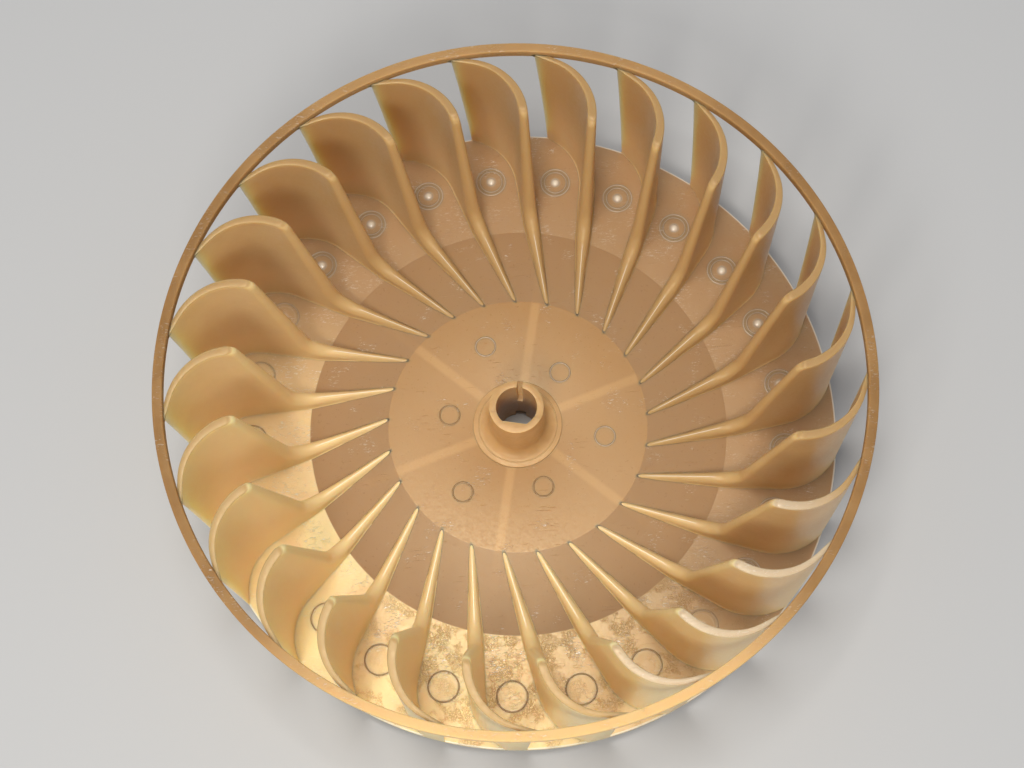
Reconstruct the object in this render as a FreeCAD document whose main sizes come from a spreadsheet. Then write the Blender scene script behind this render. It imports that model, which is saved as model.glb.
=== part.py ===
import FreeCAD, Part
import Sketcher
import math
import os
import re

# Blower wheel, moulded in one piece of translucent plastic, as it lies on its back.
# +Z points out of the inlet. The origin is on the shaft bore's axis, at the level of
# the hub's rear face and of the rear ribs, on which the wheel rests.

from FreeCAD import Placement, Rotation, Vector

SIZES = {
    # Rim ring round the inlet
    "wheel_radius": 105.0,
    "rim_width": 3.0,
    "rim_height": 3.2,
    "wheel_height": 69.0,
    # Back plate: flat outer zone, sloping annulus and raised middle
    "plate_thickness": 2.4,
    "plate_rise": 4.4,
    "zone_radius": 67.0,
    "plateau_radius": 41.4,
    # Ribs behind the plate
    "rib_count": 6,
    "rib_height": 4.2,
    "rib_width": 2.6,
    "rib_end_gap": 3.0,
    # Hub on a collar: its bore has a flat, its front is split and stepped, its rear notched
    "bore_radius": 6.35,
    "flat_depth": 1.25,
    "hub_wall": 2.05,
    "hub_draft": 0.4,
    "hub_height": 32.5,
    "hub_flare": 3.4,
    "collar_ledge": 2.0,
    "collar_height": 0.4,
    "key_angle": 77.4,
    "split_width": 1.8,
    "split_depth": 16.0,
    "notch_width": 3.6,
    "notch_depth": 4.6,
    "step_drop": 0.6,
    "step_offset": 2.6,
    # Vanes: a low root that widens up to the outer zone, then a bend forward to the rim
    "vane_count": 25,
    "vane_angle": 8.85,
    "vane_drop": 2.0,
    "vane_depth": 19.9,
    "root_overlap": 4.9,
    "root_end_width": 0.8,
    "run_out": 12.0,
    # Section of a vane where it stands on the plate; insets are the bends' distances
    # from the plate's edge
    "foot_front_offset": 13.8,
    "foot_thickness": 4.6,
    "foot_front_inset": 17.5,
    "foot_rear_inset": 18.0,
    "foot_front_curve": 18.0,
    "foot_rear_curve": 20.0,
    "foot_turn": 62.0,
    # Section of a vane at its front edge, thinner for the mould's draft
    "edge_front_offset": 15.3,
    "edge_thickness": 2.75,
    "edge_front_inset": 18.7,
    "edge_rear_inset": 19.1,
    "edge_front_curve": 17.6,
    "edge_rear_curve": 19.2,
    "edge_turn": 72.0,
    # Inner edge of the vanes: a hollow curve up from the low root and a steep ramp
    "ramp_angle": 10.9,
    "ramp_curve": 7.5,
}

# Length by which a cutting profile runs past what it cuts
PAST = 2.0

# Radii and levels that several features share, as formulas of the sizes
PLATE_RADIUS = "(wheel_radius - rim_width)"
JOINT_RADIUS = "(wheel_radius - rim_width / 2)"
CORNER_RADIUS = f"({PLATE_RADIUS} - vane_depth)"
ROOT_START = "(plateau_radius - root_overlap)"
PLATE_LEVEL = "(rib_height + plate_thickness)"
PLATEAU_BACK = "(rib_height + plate_rise)"
PLATEAU_LEVEL = f"({PLATE_LEVEL} + plate_rise)"
VANE_TOP = "(wheel_height - vane_drop)"
RIM_LEVEL = "(wheel_height - rim_height)"
HUB_FRONT = "(bore_radius + hub_wall)"
HUB_ROOT = f"({HUB_FRONT} + hub_draft)"
COLLAR_RADIUS = f"({HUB_ROOT} + hub_flare + collar_ledge)"
COLLAR_LEVEL = f"({PLATEAU_LEVEL} + collar_height)"

doc = FreeCAD.newDocument("blower_wheel")
sheet = doc.addObject("Spreadsheet::Sheet", "Sizes")
for row, (alias, size) in enumerate(SIZES.items(), start=1):
    sheet.set(f"A{row}", alias)
    sheet.set(f"B{row}", str(size))
    sheet.setAlias(f"B{row}", alias)
doc.recompute()


def bound(formula):
    """The formula with each size's name read from the sheet."""
    return re.sub(r"[a-z_]+", lambda name: f"{sheet.Name}.{name[0]}", formula)


def value(formula):
    """What a formula of the sizes comes to."""
    return float(sheet.evalExpression(bound(formula)))


def new_body(name):
    body = doc.addObject("PartDesign::Body", name)
    body.Label = name
    return body


def origin_feature(body, role):
    for feature in body.Origin.OriginFeatures:
        if feature.Role == role:
            return feature
    raise RuntimeError(f"{body.Label} has no {role}")


def new_sketch(body, name, plane, height="0", turn="0"):
    """A sketch on an origin plane: raised along Z, or turned about Z, by formulas."""
    sketch = body.newObject("Sketcher::SketchObject", name)
    sketch.AttachmentSupport = [(origin_feature(body, plane), "")]
    sketch.MapMode = "FlatFace"
    upright = plane == "XZ_Plane"
    axis = Vector(0, 1, 0) if upright else Vector(0, 0, 1)
    sketch.AttachmentOffset = Placement(Vector(0, 0, 0), Rotation(axis, value(turn)))
    if turn != "0":
        sketch.setExpression("AttachmentOffset.Rotation.Angle", bound(turn))
    if height != "0":
        sketch.setExpression("AttachmentOffset.Base.z", bound(height))
    return sketch


def dimension(sketch, formula, kind, *places, unit=1.0):
    """A dimension of the sketch, bound to a formula of the sizes."""
    index = sketch.addConstraint(Sketcher.Constraint(kind, *places, value(formula) * unit))
    sketch.setExpression(f"Constraints[{index}]", bound(formula))


def pin(sketch, line, end, x, y):
    """Fixes one end of a line or arc at the place that two formulas give."""
    horizontal_axis = -1
    vertical_axis = -2
    if x == "0":
        sketch.addConstraint(Sketcher.Constraint("PointOnObject", line, end, vertical_axis))
    elif x is not None:
        dimension(sketch, x, "DistanceX", -1, 1, line, end)
    if y == "0":
        sketch.addConstraint(Sketcher.Constraint("PointOnObject", line, end, horizontal_axis))
    elif y is not None:
        dimension(sketch, y, "DistanceY", -1, 1, line, end)


def add_line(sketch, start, end):
    return sketch.addGeometry(Part.LineSegment(Vector(*start, 0), Vector(*end, 0)), False)


def add_arc(sketch, centre, radius, start, end):
    """An arc, counter-clockwise between two angles in degrees."""
    circle = Part.Circle(Vector(*centre, 0), Vector(0, 0, 1), radius)
    return sketch.addGeometry(Part.ArcOfCircle(circle, math.radians(start), math.radians(end)), False)


def join(sketch, first, first_end, second, second_end, kind="Coincident"):
    sketch.addConstraint(Sketcher.Constraint(kind, first, first_end, second, second_end))


def chain(sketch, corners):
    """Straight lines one after another through corners, each given by two formulas."""
    points = [(value(x), value(y)) for x, y in corners]
    lines = [add_line(sketch, start, end) for start, end in zip(points, points[1:])]
    for this, following in zip(lines, lines[1:]):
        join(sketch, this, 2, following, 1)
    for line, (x, y) in zip(lines, corners):
        pin(sketch, line, 1, x, y)
    pin(sketch, lines[-1], 2, *corners[-1])
    return lines


def outline(sketch, corners):
    """A closed outline of straight lines."""
    lines = chain(sketch, corners)
    start, end = [(value(x), value(y)) for x, y in (corners[-1], corners[0])]
    last = add_line(sketch, start, end)
    join(sketch, lines[-1], 2, last, 1)
    join(sketch, last, 2, lines[0], 1)
    return sketch


def revolve(body, name, sketch, kind="PartDesign::Revolution"):
    feature = body.newObject(kind, name)
    feature.Profile = sketch
    feature.ReferenceAxis = (sketch, ["V_Axis"])
    feature.Angle = 360.0
    return feature


def pocket(body, name, sketch, depth, upward=False):
    feature = body.newObject("PartDesign::Pocket", name)
    feature.Profile = sketch
    feature.Reversed = upward
    feature.setExpression("Length", bound(depth))


def round_pattern(body, name, count, feature=None):
    """Copies all round the bore's axis: of one feature, or of the whole body."""
    pattern = body.newObject("PartDesign::PolarPattern", name)
    if feature is None:
        pattern.TransformMode = "Whole shape"
    else:
        pattern.Originals = [feature]
    pattern.Axis = (origin_feature(body, "Z_Axis"), [""])
    pattern.Angle = 360.0
    pattern.setExpression("Occurrences", bound(count))
    body.Tip = pattern


def make_plate(body):
    """The back plate with its raised middle, turned about the bore's axis."""
    revolve(body, "back_plate", outline(new_sketch(body, "plate_profile", "XZ_Plane"), [
        ("0", PLATEAU_BACK),
        ("plateau_radius", PLATEAU_BACK),
        ("zone_radius", "rib_height"),
        (PLATE_RADIUS, "rib_height"),
        (PLATE_RADIUS, PLATE_LEVEL),
        ("zone_radius", PLATE_LEVEL),
        ("plateau_radius", PLATEAU_LEVEL),
        ("0", PLATEAU_LEVEL),
    ]))


def make_hub(body):
    """The hub on its collar, with a hollow round where the two meet."""
    sketch = new_sketch(body, "hub_profile", "XZ_Plane")
    in_plate = f"({PLATEAU_BACK} + plate_thickness / 2)"
    lines = chain(sketch, [
        (f"{HUB_ROOT} + hub_flare", COLLAR_LEVEL),
        (COLLAR_RADIUS, COLLAR_LEVEL),
        (COLLAR_RADIUS, in_plate),
        (HUB_ROOT, in_plate),
        (HUB_ROOT, "0"),
        ("0", "0"),
        ("0", "hub_height"),
        (HUB_FRONT, "hub_height"),
    ])
    root = value(HUB_ROOT)
    size = value("hub_flare")
    top = value(COLLAR_LEVEL) + size
    flare = add_arc(sketch, (root + size, top), size, -180, -90)
    side = add_line(sketch, (root, top), (value(HUB_FRONT), value("hub_height")))
    dimension(sketch, "hub_flare", "Radius", flare)
    join(sketch, flare, 2, lines[0], 1, "Tangent")
    join(sketch, flare, 1, side, 1, "Tangent")
    join(sketch, side, 2, lines[-1], 2)
    revolve(body, "hub", sketch)


def make_bore(body):
    """The shaft bore with its flat, the step and the split in front, the notch behind."""
    turn = "key_angle - 90"
    bore = new_sketch(body, "bore_section", "XY_Plane", turn=turn)
    radius = value("bore_radius")
    flat = value("bore_radius - flat_depth")
    half = math.degrees(math.acos(flat / radius))
    reach = math.sqrt(radius ** 2 - flat ** 2)
    arc = add_arc(bore, (0, 0), radius, half - 90, 270 - half)
    chord = add_line(bore, (-reach, -flat), (reach, -flat))
    join(bore, arc, 3, -1, 1)
    join(bore, arc, 2, chord, 1)
    join(bore, chord, 2, arc, 1)
    bore.addConstraint(Sketcher.Constraint("Horizontal", chord))
    dimension(bore, "bore_radius", "Radius", arc)
    pin(bore, chord, 1, None, "flat_depth - bore_radius")
    pocket(body, "bore", bore, "hub_height", upward=True)

    outer = f"({HUB_ROOT} + {PAST})"
    step = outline(new_sketch(body, "step_section", "XY_Plane", "hub_height", turn), [
        (f"-{outer}", "-step_offset"),
        (outer, "-step_offset"),
        (outer, outer),
        (f"-{outer}", outer),
    ])
    pocket(body, "front_step", step, "step_drop")
    split = outline(new_sketch(body, "split_section", "XY_Plane", "hub_height", turn), [
        ("-split_width / 2", "0"),
        ("split_width / 2", "0"),
        ("split_width / 2", outer),
        ("-split_width / 2", outer),
    ])
    pocket(body, "front_split", split, "split_depth")
    notch = outline(new_sketch(body, "notch_section", "XY_Plane", turn=turn), [
        ("-notch_width / 2", "0"),
        ("notch_width / 2", "0"),
        ("notch_width / 2", HUB_ROOT),
        ("-notch_width / 2", HUB_ROOT),
    ])
    pocket(body, "rear_notch", notch, "notch_depth", upward=True)


def make_rear_ribs(body):
    """Upright ribs from the hub outwards, whose tops end inside the plate."""
    inner = "(bore_radius + hub_wall / 2)"
    outer = "(zone_radius - rib_end_gap)"
    sketch = outline(new_sketch(body, "rib_profile", "XZ_Plane", turn="key_angle"), [
        (inner, "0"),
        (outer, "0"),
        (outer, "rib_height + plate_thickness / 2"),
        ("plateau_radius", f"{PLATEAU_BACK} + plate_thickness / 2"),
        (inner, f"{PLATEAU_BACK} + plate_thickness / 2"),
    ])
    rib = body.newObject("PartDesign::Pad", "rear_rib")
    rib.Profile = sketch
    rib.Midplane = True
    rib.setExpression("Length", bound("rib_width"))
    round_pattern(body, "rear_ribs", "rib_count", rib)


def make_rim(body):
    sketch = outline(new_sketch(body, "rim_profile", "XZ_Plane"), [
        (PLATE_RADIUS, RIM_LEVEL),
        ("wheel_radius", RIM_LEVEL),
        ("wheel_radius", "wheel_height"),
        (PLATE_RADIUS, "wheel_height"),
    ])
    revolve(body, "rim_ring", sketch)


def vane_section(body, level, height):
    """A vane's section: two sides that spread, run straight, bend forward and end in a tip."""
    sketch = new_sketch(body, f"vane_{level}", "XY_Plane", height, "vane_angle")
    turn = value(f"{level}_turn")
    along = Vector(math.cos(math.radians(turn)), math.sin(math.radians(turn)), 0)
    start = value(ROOT_START)
    knee = value("zone_radius")
    middle = f"{level}_front_offset + {level}_thickness / 2"
    offsets = {
        "front": (f"({middle} - root_end_width / 2)", f"{level}_front_offset"),
        "rear": (f"({middle} + root_end_width / 2)", f"({level}_front_offset + {level}_thickness)"),
    }
    roots = []
    tips = []
    for side, (end_offset, offset) in offsets.items():
        narrow = -value(end_offset)
        low = -value(offset)
        bend_start = f"{PLATE_RADIUS} - {level}_{side}_inset"
        bend = value(bend_start)
        curve = value(f"{level}_{side}_curve")
        taper = add_line(sketch, (start, narrow), (knee, low))
        root = add_line(sketch, (knee, low), (bend, low))
        arc = add_arc(sketch, (bend, low + curve), curve, -90, turn - 90)
        bend_end = Vector(bend + curve * along.y, low + curve * (1 - along.x), 0)
        tip_end = bend_end + along * value("run_out")
        tip = add_line(sketch, (bend_end.x, bend_end.y), (tip_end.x, tip_end.y))
        pin(sketch, taper, 1, ROOT_START, f"-{end_offset}")
        join(sketch, taper, 2, root, 1)
        pin(sketch, root, 1, "zone_radius", f"-{offset}")
        pin(sketch, root, 2, bend_start, None)
        sketch.addConstraint(Sketcher.Constraint("Horizontal", root))
        join(sketch, root, 2, arc, 1, "Tangent")
        dimension(sketch, f"{level}_{side}_curve", "Radius", arc)
        join(sketch, arc, 2, tip, 1, "Tangent")
        dimension(sketch, f"{level}_turn", "Angle", tip, unit=math.radians(1))
        dimension(sketch, "run_out", "Distance", tip)
        roots.append((taper, (start, narrow)))
        tips.append((tip, (tip_end.x, tip_end.y)))
    for ends, place in ((roots, 1), (tips, 2)):
        cap = add_line(sketch, ends[0][1], ends[1][1])
        join(sketch, ends[0][0], place, cap, 1)
        join(sketch, ends[1][0], place, cap, 2)
    return sketch


def draw_inlet(sketch):
    """What is cut from a vane's inner side: level root, hollow curve and steep ramp."""
    inner = value(ROOT_START)
    low = value(PLATEAU_LEVEL)
    high = value(VANE_TOP)
    corner = value(CORNER_RADIUS)
    lean = math.radians(value("ramp_angle"))
    curve = value("ramp_curve")
    foot = corner - (high - low) * math.tan(lean) - curve * math.tan(math.pi / 4 - lean / 2)
    bend_end = (foot + curve * math.cos(lean), low + curve * (1 - math.sin(lean)))
    clear = chain(sketch, [
        (CORNER_RADIUS, VANE_TOP),
        (CORNER_RADIUS, f"{VANE_TOP} + {PAST}"),
        (ROOT_START, f"{VANE_TOP} + {PAST}"),
        (ROOT_START, PLATEAU_LEVEL),
    ])
    root = add_line(sketch, (inner, low), (foot, low))
    bend = add_arc(sketch, (foot, low + curve), curve, -90, -math.degrees(lean))
    ramp = add_line(sketch, bend_end, (corner, high))
    join(sketch, clear[-1], 2, root, 1)
    join(sketch, root, 2, bend, 1, "Tangent")
    join(sketch, bend, 2, ramp, 1, "Tangent")
    join(sketch, ramp, 2, clear[0], 1)
    sketch.addConstraint(Sketcher.Constraint("Horizontal", root))
    dimension(sketch, "ramp_curve", "Radius", bend)
    dimension(sketch, "90 - ramp_angle", "Angle", ramp, unit=math.radians(1))


def make_vanes(body):
    """One lofted vane, trimmed inside, outside and below, then copied all round.

    Its outer edge is flush with the plate's, and its top runs on into the rim ring.
    """
    foot = vane_section(body, "foot", "rib_height + plate_thickness / 2")
    vane = body.newObject("PartDesign::AdditiveLoft", "vane")
    vane.Profile = foot
    vane.Sections = [vane_section(body, "edge", VANE_TOP)]
    vane.Ruled = True
    trim = new_sketch(body, "trim_profile", "XZ_Plane")
    draw_inlet(trim)
    clear_radius = "(wheel_radius + run_out)"
    outline(trim, [
        (PLATE_RADIUS, f"rib_height - {PAST}"),
        (clear_radius, f"rib_height - {PAST}"),
        (clear_radius, f"wheel_height + {PAST}"),
        (JOINT_RADIUS, f"wheel_height + {PAST}"),
        (JOINT_RADIUS, RIM_LEVEL),
        (PLATE_RADIUS, RIM_LEVEL),
    ])
    outline(trim, [
        (ROOT_START, "0"),
        ("zone_radius", "0"),
        ("zone_radius", "rib_height"),
        ("plateau_radius", PLATEAU_BACK),
        (ROOT_START, PLATEAU_BACK),
    ])
    revolve(body, "vane_trim", trim, "PartDesign::Groove")
    # A pattern of the whole body needs the body's finished shape
    doc.recompute()
    round_pattern(body, "vane_circle", "vane_count")


def check_features(body):
    """Stops if a feature failed, changed nothing or cut the wrong way."""
    before = 0.0
    for feature in body.Group:
        if not feature.isDerivedFrom("PartDesign::Feature"):
            continue
        if "Invalid" in feature.State or "Error" in feature.State:
            raise RuntimeError(f"{feature.Label}: {feature.State}")
        change = feature.Shape.Volume - before
        before = feature.Shape.Volume
        cuts = "Groove" in feature.TypeId or "Pocket" in feature.TypeId
        if abs(change) < 1e-3 or (cuts and change > 0):
            raise RuntimeError(f"{feature.Label} changes the volume by {change:.3f}")


vanes = new_body("vanes")
make_vanes(vanes)

wheel = new_body("blower_wheel")
make_plate(wheel)
make_hub(wheel)
make_bore(wheel)
make_rear_ribs(wheel)
make_rim(wheel)
union = wheel.newObject("PartDesign::Boolean", "wheel_with_vanes")
union.setObjects([vanes])
union.Type = "Fuse"
wheel.Tip = union
doc.recompute()

check_features(vanes)
check_features(wheel)
if wheel.Shape.isNull() or not wheel.Shape.isValid() or len(wheel.Shape.Solids) != 1:
    raise RuntimeError("the wheel is not one valid solid")

os.makedirs("parts", exist_ok=True)
wheel.Shape.exportStep(f"parts/{wheel.Label}.step")
box = wheel.Shape.optimalBoundingBox()
print(f"{wheel.Label}: {box.XLength:.2f} x {box.YLength:.2f} x {box.ZLength:.2f} mm, "
      f"{wheel.Shape.Volume / 1000:.2f} cm3, {len(wheel.Shape.Faces)} faces")
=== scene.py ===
import math
import bpy
import bmesh
from mathutils import Matrix, Vector


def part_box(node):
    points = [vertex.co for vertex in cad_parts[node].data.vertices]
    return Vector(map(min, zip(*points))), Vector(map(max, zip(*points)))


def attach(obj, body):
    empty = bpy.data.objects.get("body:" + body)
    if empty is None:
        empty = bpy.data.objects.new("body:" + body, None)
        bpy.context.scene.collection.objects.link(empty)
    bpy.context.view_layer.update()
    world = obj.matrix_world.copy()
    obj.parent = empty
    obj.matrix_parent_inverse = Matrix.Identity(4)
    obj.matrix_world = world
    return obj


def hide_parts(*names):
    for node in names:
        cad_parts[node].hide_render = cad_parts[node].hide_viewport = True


# Blower wheel, moulded in one piece of translucent tan plastic, as it lies on its back.
# All sizes are in millimetres and degrees; MM turns them into the scene's metres.

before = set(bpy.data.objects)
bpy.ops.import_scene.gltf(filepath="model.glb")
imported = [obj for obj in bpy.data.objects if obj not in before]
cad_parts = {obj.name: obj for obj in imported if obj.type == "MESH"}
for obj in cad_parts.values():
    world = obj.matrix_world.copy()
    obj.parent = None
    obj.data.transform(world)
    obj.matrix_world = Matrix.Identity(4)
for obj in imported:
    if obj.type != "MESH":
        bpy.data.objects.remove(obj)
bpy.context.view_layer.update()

MM = 0.001
LOW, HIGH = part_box("blower_wheel")

# Main levels and radii
WHEEL_RADIUS = (HIGH[0] - LOW[0]) / 2 / MM
WHEEL_HEIGHT = (HIGH[2] - LOW[2]) / MM
RIM_WIDTH = 3.0
RIM_HEIGHT = 3.2
RIM_ROUND = 0.5
RIM_LEVEL = WHEEL_HEIGHT - RIM_HEIGHT
PLATE_RADIUS = WHEEL_RADIUS - RIM_WIDTH
PLATE_BORE = 7.5
PLATE_LEVEL = 6.6
PLATE_THICKNESS = 2.4
PLATE_EDGE_ROUND = 0.4
PLATE_BEND_ROUND = 0.2
PLATE_BORE_ROUND = 0.05
ZONE_RADIUS = 67.0
PLATEAU_RADIUS = 41.4
PLATEAU_LEVEL = 11.0

# Hub
BORE_RADIUS = 6.35
BORE_FLAT = 5.1
HUB_FRONT_RADIUS = 8.4
HUB_ROOT_RADIUS = 8.8
HUB_HEIGHT = 32.5
HUB_FLARE = 3.4
COLLAR_RADIUS = 14.2
COLLAR_HEIGHT = 0.4
COLLAR_SUNK = 1.5
COLLAR_CHAMFER = 0.15
COLLAR_LINE_RADIUS = 12.5
KEY_ANGLE = 77.4
SPLIT_WIDTH = 1.8
SPLIT_DEPTH = 16.0
NOTCH_WIDTH = 3.6
NOTCH_DEPTH = 4.6
NOTCH_REACH = COLLAR_RADIUS - 4.0
STEP_DROP = 0.6
STEP_OFFSET = 2.6
CUT_BEYOND = 3.0
EDGE_BEVEL = 0.3

# Ribs behind the plate
REAR_RIB_COUNT = 6
REAR_RIB_WIDTH = 2.6
REAR_RIB_HEIGHT = 5.8
REAR_RIB_REACH = 64.0

# Vanes, given by a section on the plate and one at their front edge
VANE_COUNT = 25
VANE_ANGLE = 8.85
VANE_TOP = WHEEL_HEIGHT - 2.0
SECTION_LEVEL = PLATE_LEVEL - PLATE_THICKNESS / 2
ROOT_START = 36.5
ROOT_END_WIDTH = 0.8
RUN_OUT = 12.0
JOINT_DEPTH = 1.2
FOOT = {"front": (13.8, 84.5, 18.0), "rear": (18.4, 84.0, 20.0), "turn": 62.0}
EDGE = {"front": (15.3, 83.3, 17.6), "rear": (18.05, 82.9, 19.2), "turn": 72.0}
FOOT_THICKNESS = 4.6
EDGE_THICKNESS = 2.75
ROOT_FILLET = 0.35
CORNER_ROUND = 3.0
EDGE_ROUND = 0.5
TIP_ROUND = 0.35

# The vanes' free edge: a low crest, a hollow curve, a steep ramp and a round corner
CREST_DROP = 0.05
CREST_INSET = 0.4
LEAST_NOSE = 0.2
CORNER_RADIUS = 82.1
RAMP_ANGLE = math.radians(10.9)
RAMP_CURVE = 7.5
RAMP_RISE = VANE_TOP - PLATEAU_LEVEL
BEND_SHARE = math.tan(math.pi / 4 - RAMP_ANGLE / 2)
RAMP_FOOT = CORNER_RADIUS - RAMP_RISE * math.tan(RAMP_ANGLE) - RAMP_CURVE * BEND_SHARE
RAMP_NORMAL = Vector((math.cos(RAMP_ANGLE), -math.sin(RAMP_ANGLE)))
CURVE_CENTRE = Vector((RAMP_FOOT, PLATEAU_LEVEL + RAMP_CURVE))
CORNER_CENTRE = Vector((CORNER_RADIUS, VANE_TOP)) + CORNER_ROUND * Vector((
    math.cos(RAMP_ANGLE) - BEND_SHARE * math.sin(RAMP_ANGLE), -1.0))

# Ejector marks: size, radius of their circle, first angle, count and level
OUTER_MARKS = (4.76, 85.8, 5.25, VANE_COUNT, PLATE_LEVEL)
FAR_MARKS = (3.18, 28.1, 107.4, 3, PLATEAU_LEVEL)
NEAR_MARKS = (3.18, 22.0, 47.4, 3, PLATEAU_LEVEL)
INNER_RING_INSET = 1.1
RIDGE_TOP = 0.1
RIDGE_FOOT = 0.28
MARK_RELIEF = 0.08
INNER_RELIEF = 0.05
COLLAR_RELIEF = 0.1
RELIEF_SUNK = 0.1
NUB = ((0.0, -RELIEF_SUNK), (1.5, -RELIEF_SUNK), (1.2, 0.08), (0.7, 0.18), (0.0, 0.22))

# Directions in which the look changes, as angles round the wheel: painted sheen and light are
# strongest towards LIT_SIDE and VANE_LIT_SIDE, and the vanes' top edges get a painted sheen towards
# the last direction
LIT_SIDE = 230
VANE_LIT_SIDE = 240
CRACKED_SIDE = 272
TOP_SHEEN_SIDE = 309

# Fineness of the meshes, and the vanes' rows of vertices down from their free edge
TURN_STEPS = 300
HUB_STEPS = 96
BORE_STEPS = 48
FLARE_STEPS = 8
MARK_STEPS = 40
NUB_STEPS = 24
MERGE_DISTANCE = 0.002
HALVINGS = 30
ROOT_STEPS, CURVE_STEPS, RAMP_STEPS, CORNER_STEPS, TOP_STEPS = 14, 8, 14, 8, 22
NOSE_TURNS = (0, 20, 40, 60, 75, 90)
TIP_SHARES = (1.0, 0.6, 0.25, 0.0)
WALL_SHARES = (0.3, 0.6, 0.85, 1.0)
FOOT_HEIGHT = 1.2
FOOT_LEVELS = (0.4, 0.2, 0.08, 0.0, -0.2)
RIM_GAP = 0.02


def lerp(a, b, share):
    return a + (b - a) * share


def section_place(section, side, along):
    """A place on one side of a section.

    Along runs from 0 to 1 up to the bend, to 2 round it and to 3 at the tip.
    """
    offset, bend, curve = section[side]
    if along <= 1:
        x = lerp(ROOT_START, bend, along)
        middle = (section["front"][0] + section["rear"][0]) / 2
        narrow = middle + math.copysign(ROOT_END_WIDTH / 2, offset - middle)
        spread = min((x - ROOT_START) / (ZONE_RADIUS - ROOT_START), 1)
        return x, -lerp(narrow, offset, spread)
    swept = math.radians(section["turn"]) * min(along - 1, 1)
    x = bend + curve * math.sin(swept)
    y = -offset + curve * (1 - math.cos(swept))
    run = RUN_OUT * max(along - 2, 0)
    return x + run * math.cos(swept), y + run * math.sin(swept)


def side_place(side, radius, level):
    """Where one side of the vane crosses a radius at a level."""
    share = (level - SECTION_LEVEL) / (VANE_TOP - SECTION_LEVEL)
    low, high = 0.0, 3.0
    for _ in range(HALVINGS):
        along = (low + high) / 2
        foot = section_place(FOOT, side, along)
        edge = section_place(EDGE, side, along)
        x, y = lerp(foot[0], edge[0], share), lerp(foot[1], edge[1], share)
        if math.hypot(x, y) < radius:
            low = along
        else:
            high = along
    return Vector((x, y))


def outer_radius(level):
    """The vane's outer edge: flush with the plate's, and inside the rim ring at its top."""
    return PLATE_RADIUS + (JOINT_DEPTH if level > RIM_LEVEL else 0.0)


def plate_top(radius):
    """Level of the plate's front face."""
    share = (radius - PLATEAU_RADIUS) / (ZONE_RADIUS - PLATEAU_RADIUS)
    return lerp(PLATEAU_LEVEL, PLATE_LEVEL, min(max(share, 0.0), 1.0))


def rounded(depth, size):
    """Height of a quarter circle of this size at a depth from its start, as a share."""
    inside = min(max(depth / size, 0.0), 1.0)
    return math.sqrt(max(0.0, 1 - (1 - inside) ** 2))


def vane_places(radius, level, depth, roundness):
    """Both sides' places at a radius and level.

    The depth runs from 0 on the free edge to 1 where the sides are straight, and the roundness
    from 0 for a small edge round to 1 for a full nose.
    """
    front = side_place("front", radius, level)
    rear = side_place("rear", radius, level)
    middle = (front + rear) / 2
    across = (front - rear) / 2
    half = across.length
    width = half - lerp(EDGE_ROUND, half, roundness) * (1 - rounded(depth, 1.0))
    if level < RIM_LEVEL:
        width -= TIP_ROUND * (1 - rounded(PLATE_RADIUS - radius, TIP_ROUND))
    plate = plate_top(radius)
    flare = min(ROOT_FILLET, (PLATEAU_LEVEL - plate) / 3)
    if flare > 0.01 and width > 0:
        width += flare * (1 - rounded(level - plate, flare))
    across.normalize()
    return middle + across * max(width, 0.0), middle - across * max(width, 0.0)


def vane_columns():
    """Places on the vane's free edge, each with the place below its round and its roundness."""
    columns = []
    crest = PLATEAU_LEVEL - CREST_DROP
    for step in range(ROOT_STEPS):
        radius = lerp(PLATEAU_RADIUS - CREST_INSET, RAMP_FOOT, step / ROOT_STEPS)
        nose = min(FOOT_THICKNESS / 2, max(PLATEAU_LEVEL - plate_top(radius), LEAST_NOSE))
        columns.append((Vector((radius, crest)), Vector((radius, crest - nose)), 1.0))
    for step in range(CURVE_STEPS):
        angle = lerp(-math.pi / 2, -RAMP_ANGLE, step / CURVE_STEPS)
        away = Vector((math.cos(angle), math.sin(angle)))
        place = CURVE_CENTRE + away * RAMP_CURVE
        columns.append((place, place + away * FOOT_THICKNESS / 2, 1.0))
    bend_end = CURVE_CENTRE + RAMP_NORMAL * RAMP_CURVE
    ramp_end = CORNER_CENTRE - RAMP_NORMAL * CORNER_ROUND
    for step in range(RAMP_STEPS):
        share = step / RAMP_STEPS
        nose = lerp(FOOT_THICKNESS, EDGE_THICKNESS, share) / 2
        place = bend_end.lerp(ramp_end, share)
        columns.append((place, place + RAMP_NORMAL * nose, 1.0))
    inside_start = ramp_end + RAMP_NORMAL * EDGE_THICKNESS / 2
    inside_end = Vector((CORNER_CENTRE.x, VANE_TOP - EDGE_ROUND))
    for step in range(CORNER_STEPS):
        share = step / CORNER_STEPS
        turn = lerp(math.pi - RAMP_ANGLE, math.pi / 2, share)
        place = CORNER_CENTRE + Vector((math.cos(turn), math.sin(turn))) * CORNER_ROUND
        columns.append((place, inside_start.lerp(inside_end, share), 1 - share))
    tip_start = PLATE_RADIUS - TIP_ROUND
    radii = [lerp(CORNER_CENTRE.x, tip_start, step / TOP_STEPS) for step in range(TOP_STEPS)]
    radii += [PLATE_RADIUS - TIP_ROUND * share for share in TIP_SHARES]
    radii += [PLATE_RADIUS + JOINT_DEPTH / 2, PLATE_RADIUS + JOINT_DEPTH]
    for radius in radii:
        columns.append((Vector((radius, VANE_TOP)), Vector((radius, VANE_TOP - EDGE_ROUND)), 0.0))
    return columns


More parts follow.
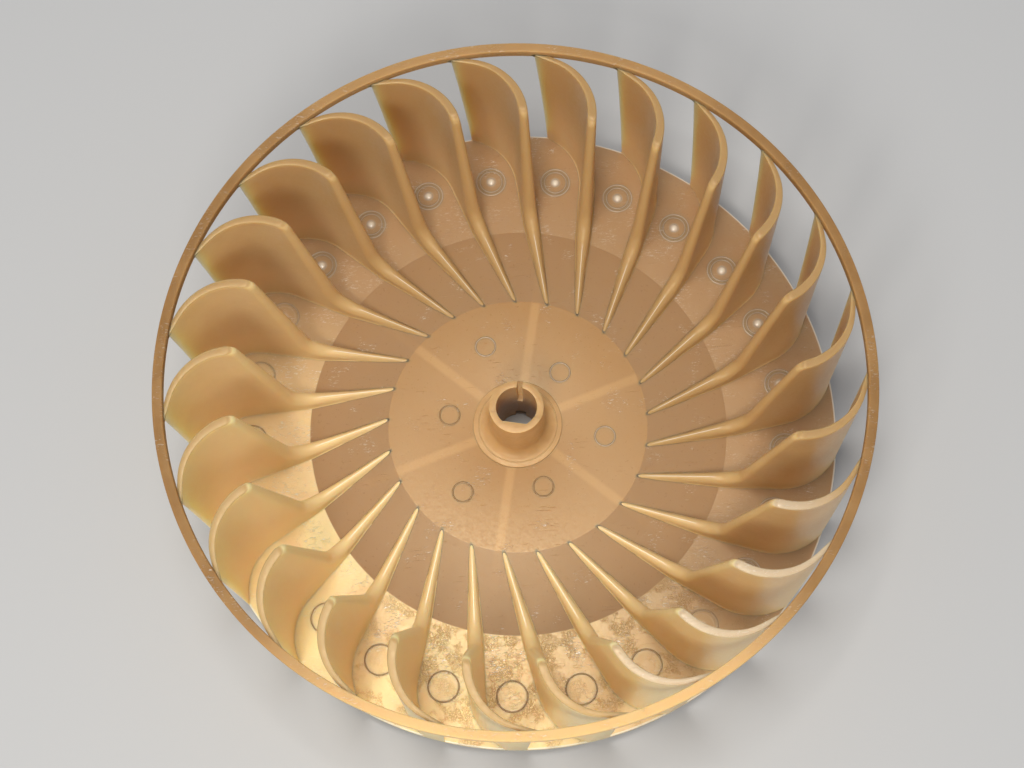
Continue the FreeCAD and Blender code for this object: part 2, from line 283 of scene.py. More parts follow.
def column_rows(edge, inside):
    """Radius, level and depth of the places down a column, from the free edge into the plate."""
    rows = []
    for turn in NOSE_TURNS:
        depth = 1 - math.cos(math.radians(turn))
        place = edge.lerp(inside, depth)
        rows.append((place.x, place.y, depth))
    plate = plate_top(inside.x)
    foot = min(inside.y, plate + FOOT_HEIGHT)
    levels = [min(inside.y, RIM_LEVEL + RIM_GAP), min(inside.y, RIM_LEVEL - RIM_GAP)]
    levels += [lerp(levels[-1], foot, share) for share in WALL_SHARES]
    levels += [min(foot, plate + above) for above in FOOT_LEVELS]
    return rows + [(min(inside.x, outer_radius(level)), level, 1.0) for level in levels]


def one_vane():
    """Vertices and faces of one vane that points along +X."""
    places = []
    faces = []
    for edge, inside, roundness in vane_columns():
        rows = column_rows(edge, inside)
        pairs = [vane_places(*row, roundness) for row in rows]
        places += [(front.x, front.y, row[1]) for (front, _), row in zip(pairs, rows)]
        places += [(rear.x, rear.y, row[1]) for (_, rear), row in zip(pairs, rows)]
    count = len(rows)
    column = 2 * count
    for start in range(0, len(places) - column, column):
        ahead = start + column
        for front in range(start, start + count - 1):
            faces.append((front, front + column, front + column + 1, front + 1))
            rear = front + count
            faces.append((rear, rear + 1, rear + 1 + column, rear + column))
        faces.append((start, start + count, ahead + count, ahead))
        faces.append((ahead - count - 1, ahead + count - 1, ahead + column - 1, ahead - 1))
    for front in range(ahead, ahead + count - 1):
        faces.append((front, front + count, front + count + 1, front + 1))
    return places, faces


def linked(name, mesh):
    """A new object in the scene for this mesh."""
    piece = bpy.data.objects.new(name, mesh)
    bpy.context.scene.collection.objects.link(piece)
    return piece


def mesh_object(name, places, faces):
    mesh = bpy.data.meshes.new(name)
    mesh.from_pydata([Vector(place) * MM for place in places], [], faces)
    mesh.validate()
    return linked(name, mesh)


def moved(piece, centre, level):
    """The piece with its mesh shifted to a place on the plate."""
    piece.data.transform(Matrix.Translation(Vector((*centre, level)) * MM))
    return piece


def clean(piece):
    """Merges doubled places and turns all faces outwards."""
    work = bmesh.new()
    work.from_mesh(piece.data)
    bmesh.ops.remove_doubles(work, verts=work.verts, dist=MERGE_DISTANCE * MM)
    bmesh.ops.recalc_face_normals(work, faces=work.faces)
    work.to_mesh(piece.data)
    work.free()
    piece.data.shade_smooth()
    return piece


def turned(name, profile, steps=TURN_STEPS, closed=True):
    """A profile of (radius, level) places turned about the bore's axis."""
    places = []
    faces = []
    count = len(profile)
    for step in range(steps):
        angle = 2 * math.pi * step / steps
        cos, sin = math.cos(angle), math.sin(angle)
        places += [(radius * cos, radius * sin, level) for radius, level in profile]
    for step in range(steps):
        here, there = step * count, (step + 1) % steps * count
        for place in range(count if closed else count - 1):
            following = (place + 1) % count
            faces.append((here + place, there + place, there + following, here + following))
    return clean(mesh_object(name, places, faces))


def round_corners(corners, steps=4):
    """The outline of (radius, level, round) corners with a small arc in place of each."""
    outline = []
    for index, (x, y, reach) in enumerate(corners):
        place = Vector((x, y))
        before = Vector(corners[index - 1][:2]) - place
        after = Vector(corners[(index + 1) % len(corners)][:2]) - place
        start = place + before.normalized() * reach
        end = place + after.normalized() * reach
        for step in range(steps + 1):
            share = step / steps
            a, b = start.lerp(place, share), place.lerp(end, share)
            outline.append(tuple(a.lerp(b, share)))
    return outline


def box_piece(name, centre, sizes, turn):
    """A box of these sizes round a centre, turned about the bore's axis."""
    work = bmesh.new()
    bmesh.ops.create_cube(work, size=1.0)
    place = Matrix.Rotation(math.radians(turn), 4, "Z") @ Matrix.Translation(Vector(centre) * MM)
    place = place @ Matrix.Diagonal((*[size * MM for size in sizes], 1))
    bmesh.ops.transform(work, matrix=place, verts=work.verts)
    mesh = bpy.data.meshes.new(name)
    work.to_mesh(mesh)
    work.free()
    return linked(name, mesh)


def make_vanes():
    places, faces = one_vane()
    all_places = []
    all_faces = []
    for number in range(VANE_COUNT):
        turn = math.radians(VANE_ANGLE + 360 / VANE_COUNT * number)
        cos, sin = math.cos(turn), math.sin(turn)
        first = len(all_places)
        all_places += [(x * cos - y * sin, x * sin + y * cos, z) for x, y, z in places]
        all_faces += [tuple(first + corner for corner in face) for face in faces]
    return clean(mesh_object("vanes", all_places, all_faces))


def make_plate():
    back = PLATEAU_LEVEL - PLATE_THICKNESS
    low = PLATE_LEVEL - PLATE_THICKNESS
    return turned("plate", round_corners([
        (PLATE_BORE, PLATEAU_LEVEL, PLATE_BORE_ROUND),
        (PLATE_BORE, back, PLATE_BORE_ROUND),
        (PLATEAU_RADIUS, back, PLATE_BEND_ROUND),
        (ZONE_RADIUS, low, PLATE_BEND_ROUND),
        (PLATE_RADIUS, low, PLATE_EDGE_ROUND),
        (PLATE_RADIUS, PLATE_LEVEL, PLATE_EDGE_ROUND),
        (ZONE_RADIUS, PLATE_LEVEL, PLATE_BEND_ROUND),
        (PLATEAU_RADIUS, PLATEAU_LEVEL, PLATE_BEND_ROUND),
    ]))


def make_rim():
    return turned("rim", round_corners([
        (PLATE_RADIUS, RIM_LEVEL, RIM_ROUND),
        (WHEEL_RADIUS, RIM_LEVEL, RIM_ROUND),
        (WHEEL_RADIUS, WHEEL_HEIGHT, RIM_ROUND),
        (PLATE_RADIUS, WHEEL_HEIGHT, RIM_ROUND),
    ]))


def ridge(radius, height, centre, level, steps=MARK_STEPS):
    """A low ridge on a small circle."""
    outline = [(radius - RIDGE_FOOT, -RELIEF_SUNK), (radius - RIDGE_TOP, height),
               (radius + RIDGE_TOP, height), (radius + RIDGE_FOOT, -RELIEF_SUNK)]
    return moved(turned("ridge", outline, steps), centre, level)


def nub(centre, level):
    """The low dome in the middle of a mark."""
    return moved(turned("nub", NUB, NUB_STEPS, closed=False), centre, level)


def make_marks():
    """The ejector marks: in each gap between vanes and in two rings of three round the hub."""
    marks = []
    for size, circle, start, count, level in (OUTER_MARKS, FAR_MARKS, NEAR_MARKS):
        for number in range(count):
            turn = math.radians(start + 360 / count * number)
            centre = (circle * math.cos(turn), circle * math.sin(turn))
            marks.append(ridge(size, MARK_RELIEF, centre, level))
            if count == VANE_COUNT and math.cos(turn - math.radians(LIT_SIDE)) < 0.1:
                marks.append(ridge(size - INNER_RING_INSET, INNER_RELIEF, centre, level))
                marks.append(nub(centre, level))
    return marks


def hub_profile():
    """Half outline of the hub with its collar and round root, from the axis to the axis."""
    collar = PLATEAU_LEVEL + COLLAR_HEIGHT
    profile = [
        (0.0, 0.0),
        (HUB_ROOT_RADIUS, 0.0),
        (HUB_ROOT_RADIUS, PLATEAU_LEVEL - COLLAR_SUNK),
        (COLLAR_RADIUS, PLATEAU_LEVEL - COLLAR_SUNK),
        (COLLAR_RADIUS, collar - COLLAR_CHAMFER),
        (COLLAR_RADIUS - COLLAR_CHAMFER, collar),
    ]
    for step in range(FLARE_STEPS + 1):
        turn = math.radians(90 * step / FLARE_STEPS)
        profile.append((HUB_ROOT_RADIUS + HUB_FLARE * (1 - math.sin(turn)),
                        collar + HUB_FLARE * (1 - math.cos(turn))))
    return profile + [(HUB_FRONT_RADIUS, HUB_HEIGHT), (0.0, HUB_HEIGHT)]


def bore_cutter():
    """A long bar with the bore's D-shaped section, its flat opposite the key angle."""
    outline = []
    flat_half = math.acos(BORE_FLAT / BORE_RADIUS)
    for step in range(BORE_STEPS + 1):
        angle = lerp(-math.pi / 2 + flat_half, 3 * math.pi / 2 - flat_half, step / BORE_STEPS)
        angle += math.radians(KEY_ANGLE - 90)
        outline.append((BORE_RADIUS * math.cos(angle), BORE_RADIUS * math.sin(angle)))
    count = len(outline)
    places = [(x, y, -CUT_BEYOND) for x, y in outline]
    places += [(x, y, HUB_HEIGHT + CUT_BEYOND) for x, y in outline]
    faces = [tuple(range(count - 1, -1, -1)), tuple(range(count, 2 * count))]
    faces += [(i, (i + 1) % count, count + (i + 1) % count, count + i) for i in range(count)]
    return mesh_object("bore_cut", places, faces)


def make_hub():
    """The hub turned from its profile, with the bore, split, step and notch cut by solids."""
    hub = turned("hub", hub_profile(), HUB_STEPS, closed=False)
    turn = KEY_ANGLE - 90
    reach = COLLAR_RADIUS
    cutters = [
        bore_cutter(),
        box_piece("split_cut", (0, reach / 2, HUB_HEIGHT),
                  (SPLIT_WIDTH, reach, 2 * SPLIT_DEPTH), turn),
        box_piece("notch_cut", (0, NOTCH_REACH / 2, 0),
                  (NOTCH_WIDTH, NOTCH_REACH, 2 * NOTCH_DEPTH), turn),
        box_piece("step_cut", (0, (reach - STEP_OFFSET) / 2, HUB_HEIGHT),
                  (2 * reach, reach + STEP_OFFSET, 2 * STEP_DROP), turn),
    ]
    for cutter in cutters:
        cut = hub.modifiers.new(cutter.name, "BOOLEAN")
        cut.operation = "DIFFERENCE"
        cut.solver = "EXACT"
        cut.object = cutter
    bevelled = add_bevel(hub, segments=3)
    bevelled.limit_method = "ANGLE"
    bevelled.angle_limit = math.radians(35)
    bake(hub)
    for cutter in cutters:
        bpy.data.objects.remove(cutter)
    hub.data.shade_smooth()
    return hub


def make_collar_line():
    collar = PLATEAU_LEVEL + COLLAR_HEIGHT
    return ridge(COLLAR_LINE_RADIUS, COLLAR_RELIEF, (0, 0), collar, HUB_STEPS)


def make_rear_ribs():
    ribs = []
    length = REAR_RIB_REACH - PLATE_BORE
    for number in range(REAR_RIB_COUNT):
        rib = box_piece("rear_rib", (PLATE_BORE + length / 2, 0, REAR_RIB_HEIGHT / 2),
                        (length, REAR_RIB_WIDTH, REAR_RIB_HEIGHT),
                        KEY_ANGLE + 360 / REAR_RIB_COUNT * number)
        add_bevel(rib, segments=2)
        bake(rib)
        ribs.append(rib)
    return ribs


def add_bevel(piece, segments):
    bevel = piece.modifiers.new("edges", "BEVEL")
    bevel.width = EDGE_BEVEL * MM
    bevel.segments = segments
    return bevel


def bake(piece):
    """Writes the modifiers' result into the piece's own mesh."""
    graph = bpy.context.evaluated_depsgraph_get()
    mesh = bpy.data.meshes.new_from_object(piece.evaluated_get(graph))
    piece.modifiers.clear()
    piece.data = mesh


def joined(name, groups):
    """One object of several pieces, with one material for each group."""
    work = bmesh.new()
    whole = bpy.data.meshes.new(name)
    for number, (material, pieces) in enumerate(groups):
        whole.materials.append(material)
        for piece in pieces:
            first = len(work.faces)
            work.from_mesh(piece.data)
            work.faces.ensure_lookup_table()
            for face in work.faces[first:]:
                face.material_index = number
                face.smooth = True
            bpy.data.objects.remove(piece)
    work.to_mesh(whole)
    work.free()
    return linked(name, whole)


class Nodes:
    """Short ways to write a material's nodes."""

    def __init__(self, name):
        self.material = bpy.data.materials.new(name)
        self.material.use_nodes = True
        self.tree = self.material.node_tree
        self.tree.nodes.clear()

    def add(self, kind, inputs=None, **settings):
        node = self.tree.nodes.new(kind)
        for key, setting in settings.items():
            setattr(node, key, setting)
        for key, source in (inputs or {}).items():
            socket = node.inputs[key]
            if hasattr(source, "is_output"):
                self.tree.links.new(source, socket)
            else:
                socket.default_value = source
        return node

    def math(self, operation, a, b=0.0, c=0.0):
        return self.add("ShaderNodeMath", {0: a, 1: b, 2: c}, operation=operation).outputs[0]

    def times(self, a, b):
        return self.math("MULTIPLY", a, b)

    def plus(self, a, b):
        return self.math("ADD", a, b)

    def most(self, a, b):
        return self.math("MAXIMUM", a, b)

    def total(self, *parts):
        """The sum of several sources, each times its share."""
        result = 0.0
        for source, share in parts:
            result = self.math("MULTIPLY_ADD", source, share, result)
        return result

    def towards(self, angle, direction):
        """1 on the side of the wheel in this direction in degrees, and -1 on the other."""
        return self.math("COSINE", self.math("SUBTRACT", angle, math.radians(direction)))

    def ramp(self, source, low, high, to_low=0.0, to_high=1.0, kind="SMOOTHSTEP"):
        """A smooth step of the source between two values, or another kind of ramp."""
        node = self.add("ShaderNodeMapRange", {"Value": source, "From Min": low, "From Max": high,
                                               "To Min": to_low, "To Max": to_high},
                        interpolation_type=kind)
        return node.outputs["Result"]

    def step_at(self, source, place, blur):
        """0 before a place and 1 after it, with a little blur."""
        return self.ramp(source, place - blur, place + blur)

    def mix(self, share, a, b):
        node = self.add("ShaderNodeMix", {"Factor": share, 6: a, 7: b}, data_type="RGBA")
        return node.outputs[2]

    def vector(self, operation, a, b):
        node = self.add("ShaderNodeVectorMath", {0: a, 1: b}, operation=operation)
        return node.outputs[0]

    def stretched(self, vector, turn, scale):
        """The places turned by an angle in radians and stretched in the plane of the plate."""
        node = self.add("ShaderNodeMapping", {"Vector": vector, "Rotation": (0.0, 0.0, turn),
                                              "Scale": (*scale, 1.0)})
        return node.outputs[0]

    def noise(self, vector, scale, detail=3.0, roughness=0.55, distortion=0.0):
        node = self.add("ShaderNodeTexNoise", {"Scale": scale, "Detail": detail,
                                               "Roughness": roughness, "Distortion": distortion,
                                               "Vector": vector})
        return node.outputs["Fac"]


def colour(red, green, blue):
    return (red, green, blue, 1.0)


# Colours of the plastic, some with light and shade painted in: a painted sheen on the outer zone
# and the rim, painted light and shade on the vanes, and the colour of painted glints
PLATEAU_TAN = colour(0.47, 0.26, 0.10)
ANNULUS_TAN = colour(0.45, 0.275, 0.14)
ZONE_TAN = colour(0.50, 0.315, 0.165)
# Painted sheen: the outer zone's colour towards LIT_SIDE, lighter where light reflects off it
ZONE_PAINTED_SHEEN_TAN = colour(1.0, 0.77, 0.41)
STRIPE_TAN = colour(0.62, 0.37, 0.155)
CLOUD_TAN = colour(0.44, 0.27, 0.13)
CRACK_TAN = colour(0.50, 0.31, 0.12)
MARK_TAN = colour(0.36, 0.21, 0.08)
# Painted light: the vanes go from the first tan to the lighter second one towards VANE_LIT_SIDE
VANE_TAN = colour(0.56, 0.365, 0.16)
VANE_PAINTED_LIGHT_TAN = colour(0.92, 0.70, 0.36)
# Painted shade: the vanes' top faces darker
VANE_TOP_PAINTED_SHADE_TAN = colour(0.42, 0.26, 0.11)
# Painted light: the vanes lighter low down in their outer part, where they lie in shade
VANE_LOW_PAINTED_LIGHT_TAN = colour(0.95, 0.70, 0.38)
HUB_TANS = colour(0.55, 0.33, 0.14), colour(0.62, 0.385, 0.17)
RIM_TANS = colour(0.31, 0.165, 0.058), colour(0.38, 0.215, 0.082)
# Painted sheen on the rim's near side and painted light on its far side
RIM_NEAR_PAINTED_SHEEN_TAN = colour(0.84, 0.55, 0.25)
RIM_FAR_PAINTED_LIGHT_TAN = colour(0.60, 0.37, 0.16)
SHEEN = colour(1.0, 0.84, 0.58)
# The colour of the painted glints
GLINT = colour(1.0, 0.95, 0.80)

# Colours of the floor and of the studio's even light
FLOOR_GREY = colour(0.54, 0.54, 0.535)
SKY = colour(0.9, 0.93, 1.0)

# How far red, green and blue light spread in the plastic, as shares of its depth
LIGHT_SPREAD = (1.0, 0.78, 0.5)
BUMP_HEIGHT = 0.2


def places_in(nodes):
    """The object's own coordinates in millimetres: vector, radius, angle and level."""
    raw = nodes.add("ShaderNodeTexCoord").outputs["Object"]
    vector = nodes.vector("MULTIPLY", raw, (1 / MM, 1 / MM, 1 / MM))
    x, y, z = nodes.add("ShaderNodeSeparateXYZ", {0: vector}).outputs
    square = nodes.plus(nodes.times(x, x), nodes.times(y, y))
    return vector, nodes.math("SQRT", square), nodes.math("ARCTAN2", y, x), z


def wrapped(nodes, angle, start, period):
    """The angle from the nearest of several equal directions, in radians."""
    off = nodes.math("SUBTRACT", angle, math.radians(start))
    return nodes.math("WRAP", off, -math.radians(period / 2), math.radians(period / 2))


def mark_distance(nodes, radius, angle, marks):
    """The distance in millimetres from the centre of the nearest of these marks."""
    _, circle, start, count, _ = marks
    off = wrapped(nodes, angle, start, 360 / count)
    along = nodes.math("SUBTRACT", nodes.times(radius, nodes.math("COSINE", off)), circle)
    across = nodes.times(radius, nodes.math("SINE", off))
    return nodes.math("SQRT", nodes.plus(nodes.times(along, along), nodes.times(across, across)))


def band(nodes, distance, centre, half):
    """1 on a thin band round a distance, falling smoothly to 0 on both sides."""
    off = nodes.math("ABSOLUTE", nodes.math("SUBTRACT", distance, centre))
    return nodes.ramp(off, 0.0, half, 1.0, 0.0)


def flecks(nodes, vector, coarse, low, high):
    """Small nicks, which the callers use for painted glints: short strokes that lie thicker in some
    patches.
    """
    strokes = nodes.stretched(vector, 0.5, (0.45 * coarse, 1.5 * coarse))
    sharp = nodes.ramp(nodes.noise(strokes, 1.0, 3.0, 0.7, 0.6), 0.57, 0.63)
    return nodes.times(sharp, nodes.ramp(nodes.noise(vector, 0.11, 2.0, 0.6), low, high))


def scratches(nodes, vector):
    """Long fine strokes in some patches."""
    strokes = nodes.stretched(vector, 0.7, (0.12, 2.6))
    sharp = nodes.ramp(nodes.noise(strokes, 1.0, 2.0, 0.6), 0.64, 0.72)
    return nodes.times(sharp, nodes.ramp(nodes.noise(vector, 0.09, 2.0, 0.5), 0.5, 0.64))


def crackle(nodes, vector, angle, outer_mark):
    """Fine bent cracks, thick on one side of the wheel and fainter within the ejector marks."""
    inputs = {"Vector": vector, "Scale": 0.5, "Detail": 3.0}
    wander = nodes.add("ShaderNodeTexNoise", inputs).outputs["Color"]
    bent = nodes.vector("ADD", vector, nodes.vector("MULTIPLY", wander, (3.0, 3.0, 0.0)))
    cells = nodes.add("ShaderNodeTexVoronoi", {"Vector": bent, "Scale": 1.5},
                      feature="DISTANCE_TO_EDGE")
    cracks = nodes.ramp(cells.outputs["Distance"], 0.0, 0.16, 1.0, 0.0)
    patches = nodes.times(nodes.ramp(nodes.noise(vector, 0.16, 3.0, 0.6), 0.46, 0.60),
                          nodes.ramp(nodes.towards(angle, CRACKED_SIDE), 0.6, 0.9))
    mark_size = OUTER_MARKS[0]
    faded = nodes.ramp(outer_mark, mark_size - 0.5, mark_size, 0.25, 1.0)
    return nodes.times(cracks, nodes.times(patches, faded))


def plastic_surface(nodes, base, roughness, bump, depth=2.5, gloss=0.5, glint=0.0):
    """Satin plastic in which light spreads to a depth in millimetres, with glints painted in as a
    plain bright surface.
    """
    normal = nodes.add("ShaderNodeBump", {"Strength": 1.0, "Distance": BUMP_HEIGHT * MM,
                                          "Height": bump}).outputs[0]
    surface = nodes.add("ShaderNodeBsdfPrincipled", {
        "Base Color": base, "Roughness": roughness, "Normal": normal, "IOR": 1.5,
        "Specular IOR Level": gloss, "Specular Tint": SHEEN,
        "Subsurface Weight": 1.0, "Subsurface Radius": LIGHT_SPREAD,
        "Subsurface Scale": nodes.times(depth, MM)})
    # Painted highlight: a plain bright surface mixed in by the glint share
    bright = nodes.add("ShaderNodeBsdfPrincipled", {
        "Base Color": GLINT, "Roughness": 0.2, "Normal": normal, "Specular IOR Level": 0.8})
    both = nodes.add("ShaderNodeMixShader", {0: glint, 1: surface.outputs[0], 2: bright.outputs[0]})
    nodes.add("ShaderNodeOutputMaterial", {"Surface": both.outputs[0]})
    return nodes.material


def plate_base(nodes, vector, radius, angle, side):
    """The plate's three zones, a painted sheen on the outer one towards LIT_SIDE, the stripes of
    the ribs behind them and a cloudy tint.
    """
    base = nodes.mix(nodes.step_at(radius, PLATEAU_RADIUS, 0.2), PLATEAU_TAN, ANNULUS_TAN)
    # Painted sheen: the outer zone lighter towards LIT_SIDE
    zone = nodes.mix(nodes.ramp(side, -0.1, 0.9), ZONE_TAN, ZONE_PAINTED_SHEEN_TAN)
    base = nodes.mix(nodes.step_at(radius, ZONE_RADIUS, 0.2), base, zone)
    off = wrapped(nodes, angle, KEY_ANGLE, 360 / REAR_RIB_COUNT)
    across = nodes.math("ABSOLUTE", nodes.times(radius, nodes.math("SINE", off)))
    stripe = nodes.ramp(across, 0.7, 2.1, 1.0, 0.0)
    reach = nodes.plus(nodes.ramp(radius, PLATEAU_RADIUS - 1, PLATEAU_RADIUS + 1, 0.5, 0.0),
                       nodes.ramp(radius, PLATEAU_RADIUS + 8, PLATEAU_RADIUS + 16, 0.12, 0.0))
    base = nodes.mix(nodes.times(stripe, reach), base, STRIPE_TAN)
    cloud = nodes.noise(vector, 0.05, 4.0)
    return nodes.mix(nodes.ramp(cloud, 0.35, 0.7, 0.0, 0.25), base, CLOUD_TAN)


def plate_plastic():
    nodes = Nodes("plate_plastic")
    vector, radius, angle, level = places_in(nodes)
    side = nodes.towards(angle, LIT_SIDE)
    far_side = nodes.ramp(side, -0.2, 0.5, 1.0, 0.1)
    zone = nodes.ramp(radius, ZONE_RADIUS - 0.1, ZONE_RADIUS + 0.3)
    # Where wear shows, thicker towards LIT_SIDE and the plate's edge; its nicks get painted glints
    # there
    worn_lit_side = nodes.times(nodes.ramp(side, -0.2, 0.85, 0.25, 1.0),
                       nodes.ramp(radius, ZONE_RADIUS + 8, ZONE_RADIUS + 20, 1.0, 0.35))
    worn_lit_zone = nodes.times(worn_lit_side, zone)
    grain = nodes.noise(vector, 0.9, 4.0, 0.6)

    mark_size = OUTER_MARKS[0]
    outer = mark_distance(nodes, radius, angle, OUTER_MARKS)
    far = mark_distance(nodes, radius, angle, FAR_MARKS)
    near = mark_distance(nodes, radius, angle, NEAR_MARKS)
    inner_ring = band(nodes, outer, mark_size - INNER_RING_INSET, 0.25)
    lines = nodes.plus(band(nodes, outer, mark_size, 0.35), nodes.times(inner_ring, far_side))
    lines = nodes.plus(lines, band(nodes, far, FAR_MARKS[0], 0.3))
    lines = nodes.plus(lines, band(nodes, near, NEAR_MARKS[0], 0.3))
    # The marks' domes on the far side: a bump and a painted glint
    dome = nodes.times(nodes.ramp(outer, 0.0, 2.2, 1.0, 0.0), far_side)

    cracks = nodes.times(crackle(nodes, vector, angle, outer), zone)
    # Nicks: real small wear, shown bright by the painted glints below
    nicks = nodes.most(nodes.times(flecks(nodes, vector, 1.5, 0.42, 0.56), worn_lit_zone),
                       nodes.times(flecks(nodes, vector, 1.6, 0.58, 0.66), 0.5))
    rough_grain = nodes.times(grain, nodes.math("MULTIPLY_ADD", worn_lit_side, 0.12, 0.04))

    base = plate_base(nodes, vector, radius, angle, side)
    base = nodes.mix(nodes.times(cracks, 0.5), base, CRACK_TAN)
    ring = nodes.times(band(nodes, outer, mark_size, 0.3), nodes.ramp(side, 0.0, 0.7))
    base = nodes.mix(nodes.times(ring, 0.8), base, MARK_TAN)

    # Painted highlights: glints on the nicks, a bright line round the plate's edge, the domes and
    # the far side's mark lines
    edge = nodes.times(nodes.ramp(radius, PLATE_RADIUS - 0.7, PLATE_RADIUS - 0.3),
                       nodes.ramp(level, PLATE_LEVEL - 0.4, PLATE_LEVEL - 0.1))
    glint = nodes.most(nodes.times(nicks, 0.85), nodes.times(edge, 0.6))
    glint = nodes.most(glint, nodes.times(dome, 0.8))
    glint = nodes.most(glint, nodes.times(nodes.times(lines, far_side), 0.3))

    relief = nodes.most(
        nodes.times(zone, nodes.ramp(level, PLATE_LEVEL + 0.002, PLATE_LEVEL + 0.01)),
        nodes.ramp(level, PLATEAU_LEVEL + 0.002, PLATEAU_LEVEL + 0.01))
    depth = nodes.times(nodes.ramp(worn_lit_zone, 0.4, 0.9, 2.2, 0.3),
                        nodes.ramp(relief, 0.0, 1.0, 1.0, 0.01))
    height = nodes.total((lines, 0.25), (cracks, -0.5), (dome, 0.6),
                         (scratches(nodes, vector), 0.3), (nicks, 0.5),
                         (rough_grain, zone), (grain, 0.06))
    roughness = nodes.ramp(grain, 0.3, 0.7, 0.27, 0.36)
    return plastic_surface(nodes, base, roughness, height, depth, 0.6, glint)


def vane_plastic():
    nodes = Nodes("vane_plastic")
    vector, radius, angle, level = places_in(nodes)
    grain = nodes.noise(vector, 0.8, 3.0, 0.6)
    cloud = nodes.noise(vector, 0.06)
    plate = nodes.ramp(radius, PLATEAU_RADIUS, ZONE_RADIUS, PLATEAU_LEVEL, PLATE_LEVEL, "LINEAR")
    above = nodes.math("SUBTRACT", level, plate)

    # Painted light: the vanes lighter towards VANE_LIT_SIDE, with a cloudy edge
    painted_light_share = nodes.math("MULTIPLY_ADD", cloud, 0.5, nodes.towards(angle, VANE_LIT_SIDE))
    base = nodes.mix(nodes.ramp(painted_light_share, -0.3, 1.1), VANE_TAN, VANE_PAINTED_LIGHT_TAN)
    # Painted shade on the vanes' top faces
    top_shade = nodes.ramp(level, VANE_TOP - 0.7, VANE_TOP - 0.1)
    base = nodes.mix(nodes.times(top_shade, 0.8), base, VANE_TOP_PAINTED_SHADE_TAN)
    # Painted light low on the vanes' outer part, against the shade there
    hollow = nodes.times(nodes.ramp(above, 4.0, 46.0, 0.45, 0.0),
                         nodes.ramp(radius, 70.0, 90.0))
    base = nodes.mix(hollow, base, VANE_LOW_PAINTED_LIGHT_TAN)

    # Painted highlight: a ragged sheen along the vanes' top edges on one side of the wheel; the
    # same mask also gives them a little bump
    side = nodes.towards(angle, TOP_SHEEN_SIDE)
    top_edge_sheen = nodes.times(nodes.ramp(level, VANE_TOP - 1.2, VANE_TOP - 0.3),
                        nodes.ramp(side, 0.88, 0.95))
    ragged = nodes.math("MULTIPLY_ADD", flecks(nodes, vector, 1.2, 0.3, 0.4), 0.4, 0.6)
    top_edge_sheen = nodes.times(top_edge_sheen, ragged)
    # Painted highlight: a thin bright line along the low crests, short of the ramp's foot and the
    # plateau's edge
    crest = nodes.times(nodes.ramp(level, PLATEAU_LEVEL - 0.09, PLATEAU_LEVEL - 0.055),
                        nodes.ramp(radius, RAMP_FOOT - 3.0, RAMP_FOOT + 0.5, 1.0, 0.0))
    crest = nodes.times(crest, nodes.ramp(radius, PLATEAU_RADIUS + 1.0, PLATEAU_RADIUS + 8.0))
    glint = nodes.most(nodes.times(crest, 0.65), nodes.times(top_edge_sheen, 0.4))

    depth = nodes.ramp(above, 0.0, 14.0, 0.05, 5.0)
    height = nodes.total((grain, 0.08), (top_edge_sheen, 0.5))
    roughness = nodes.ramp(grain, 0.3, 0.7, 0.30, 0.40)
    return plastic_surface(nodes, base, roughness, height, depth, glint=glint)


def hub_plastic():
    nodes = Nodes("hub_plastic")
    vector, _, _, level = places_in(nodes)
    cloud = nodes.noise(vector, 0.2)
    grain = nodes.noise(vector, 1.2, 3.0, 0.6)
    base = nodes.mix(nodes.ramp(cloud, 0.3, 0.7), *HUB_TANS)
    depth = nodes.ramp(level, PLATEAU_LEVEL + 1.0, PLATEAU_LEVEL + 14.0, 0.2, 3.5)
    roughness = nodes.ramp(grain, 0.3, 0.7, 0.3, 0.42)
    return plastic_surface(nodes, base, roughness, nodes.times(grain, 0.12), depth)


def rim_plastic():
    nodes = Nodes("rim_plastic")
    vector, _, angle, _ = places_in(nodes)
    cloud = nodes.noise(vector, 0.08, 4.0)
    grain = nodes.noise(vector, 0.7, 4.0, 0.65)
    nicks = flecks(nodes, vector, 1.2, 0.45, 0.6)
    side = nodes.math("SINE", angle)
    base = nodes.mix(nodes.ramp(cloud, 0.3, 0.7), *RIM_TANS)
    # Painted sheen on the rim's near side (towards -Y) and painted light on its far side (towards
    # +Y)
    base = nodes.mix(nodes.ramp(side, -0.98, -0.6, 1.0, 0.0), base, RIM_NEAR_PAINTED_SHEEN_TAN)
    base = nodes.mix(nodes.ramp(side, 0.6, 1.0, 0.0, 0.5), base, RIM_FAR_PAINTED_LIGHT_TAN)
    height = nodes.total((grain, 0.2), (nicks, 0.5))
    roughness = nodes.ramp(grain, 0.3, 0.7, 0.42, 0.52)
    # Painted glints on the rim's nicks
    return plastic_surface(nodes, base, roughness, height, gloss=0.3,
                           glint=nodes.times(nicks, 0.25))


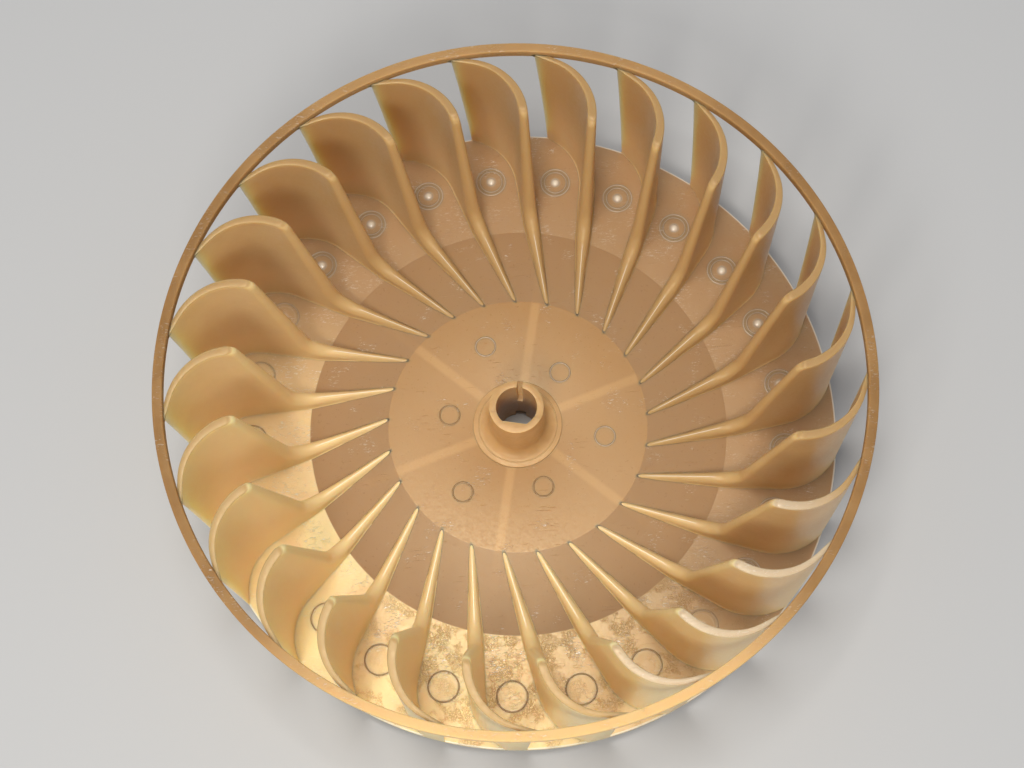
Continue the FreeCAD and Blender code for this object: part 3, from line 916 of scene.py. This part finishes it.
def make_floor():
    reach, gap = 3000, 0.2
    corners = [(-reach, -reach, 0), (reach, -reach, 0), (reach, reach, 0), (-reach, reach, 0)]
    floor = mesh_object("floor", corners, [(0, 1, 2, 3)])
    floor.location.z = LOW[2] - gap * MM
    nodes = Nodes("floor_paint")
    surface = nodes.add("ShaderNodeBsdfPrincipled", {"Base Color": FLOOR_GREY, "Roughness": 0.9})
    nodes.add("ShaderNodeOutputMaterial", {"Surface": surface.outputs[0]})
    floor.data.materials.append(nodes.material)


def add_light(name, place, width, power):
    """A soft square light that faces the middle of the wheel, in metres and watts."""
    light = bpy.data.lights.new(name, "AREA")
    light.shape = "SQUARE"
    light.size = width
    light.energy = power
    light.color = (1.0, 0.97, 0.92)
    lamp = linked(name, light)
    lamp.location = place
    lamp.rotation_euler = (-Vector(place)).to_track_quat("-Z", "Y").to_euler()


def make_lights():
    add_light("key", (-0.15, -0.42, 0.62), 0.22, 2.2)
    add_light("overhead", (-0.06, 0.045, 1.1), 0.3, 5.2)
    world = bpy.data.worlds.new("studio")
    world.use_nodes = True
    background = world.node_tree.nodes["Background"]
    background.inputs["Color"].default_value = SKY
    background.inputs["Strength"].default_value = 0.42
    bpy.context.scene.world = world


def make_camera():
    place = Vector((-0.8, -148.5, 567.0))
    tilt, roll = math.radians(16.25), math.radians(-4.51)
    data = bpy.data.cameras.new("camera")
    data.lens = 63.28
    data.sensor_width = 36.0
    camera = linked("camera", data)
    camera.matrix_world = (Matrix.Translation(place * MM)
                           @ Matrix.Rotation(tilt, 4, "X") @ Matrix.Rotation(roll, 4, "Z"))
    bpy.context.scene.camera = camera


wheel = joined("moulded_wheel", [
    (plate_plastic(), [make_plate(), *make_rear_ribs(), *make_marks()]),
    (vane_plastic(), [make_vanes()]),
    (hub_plastic(), [make_hub(), make_collar_line()]),
    (rim_plastic(), [make_rim()]),
])
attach(wheel, "root")
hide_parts("blower_wheel")
make_floor()
make_lights()
make_camera()
bpy.context.scene.view_settings.view_transform = "Standard"
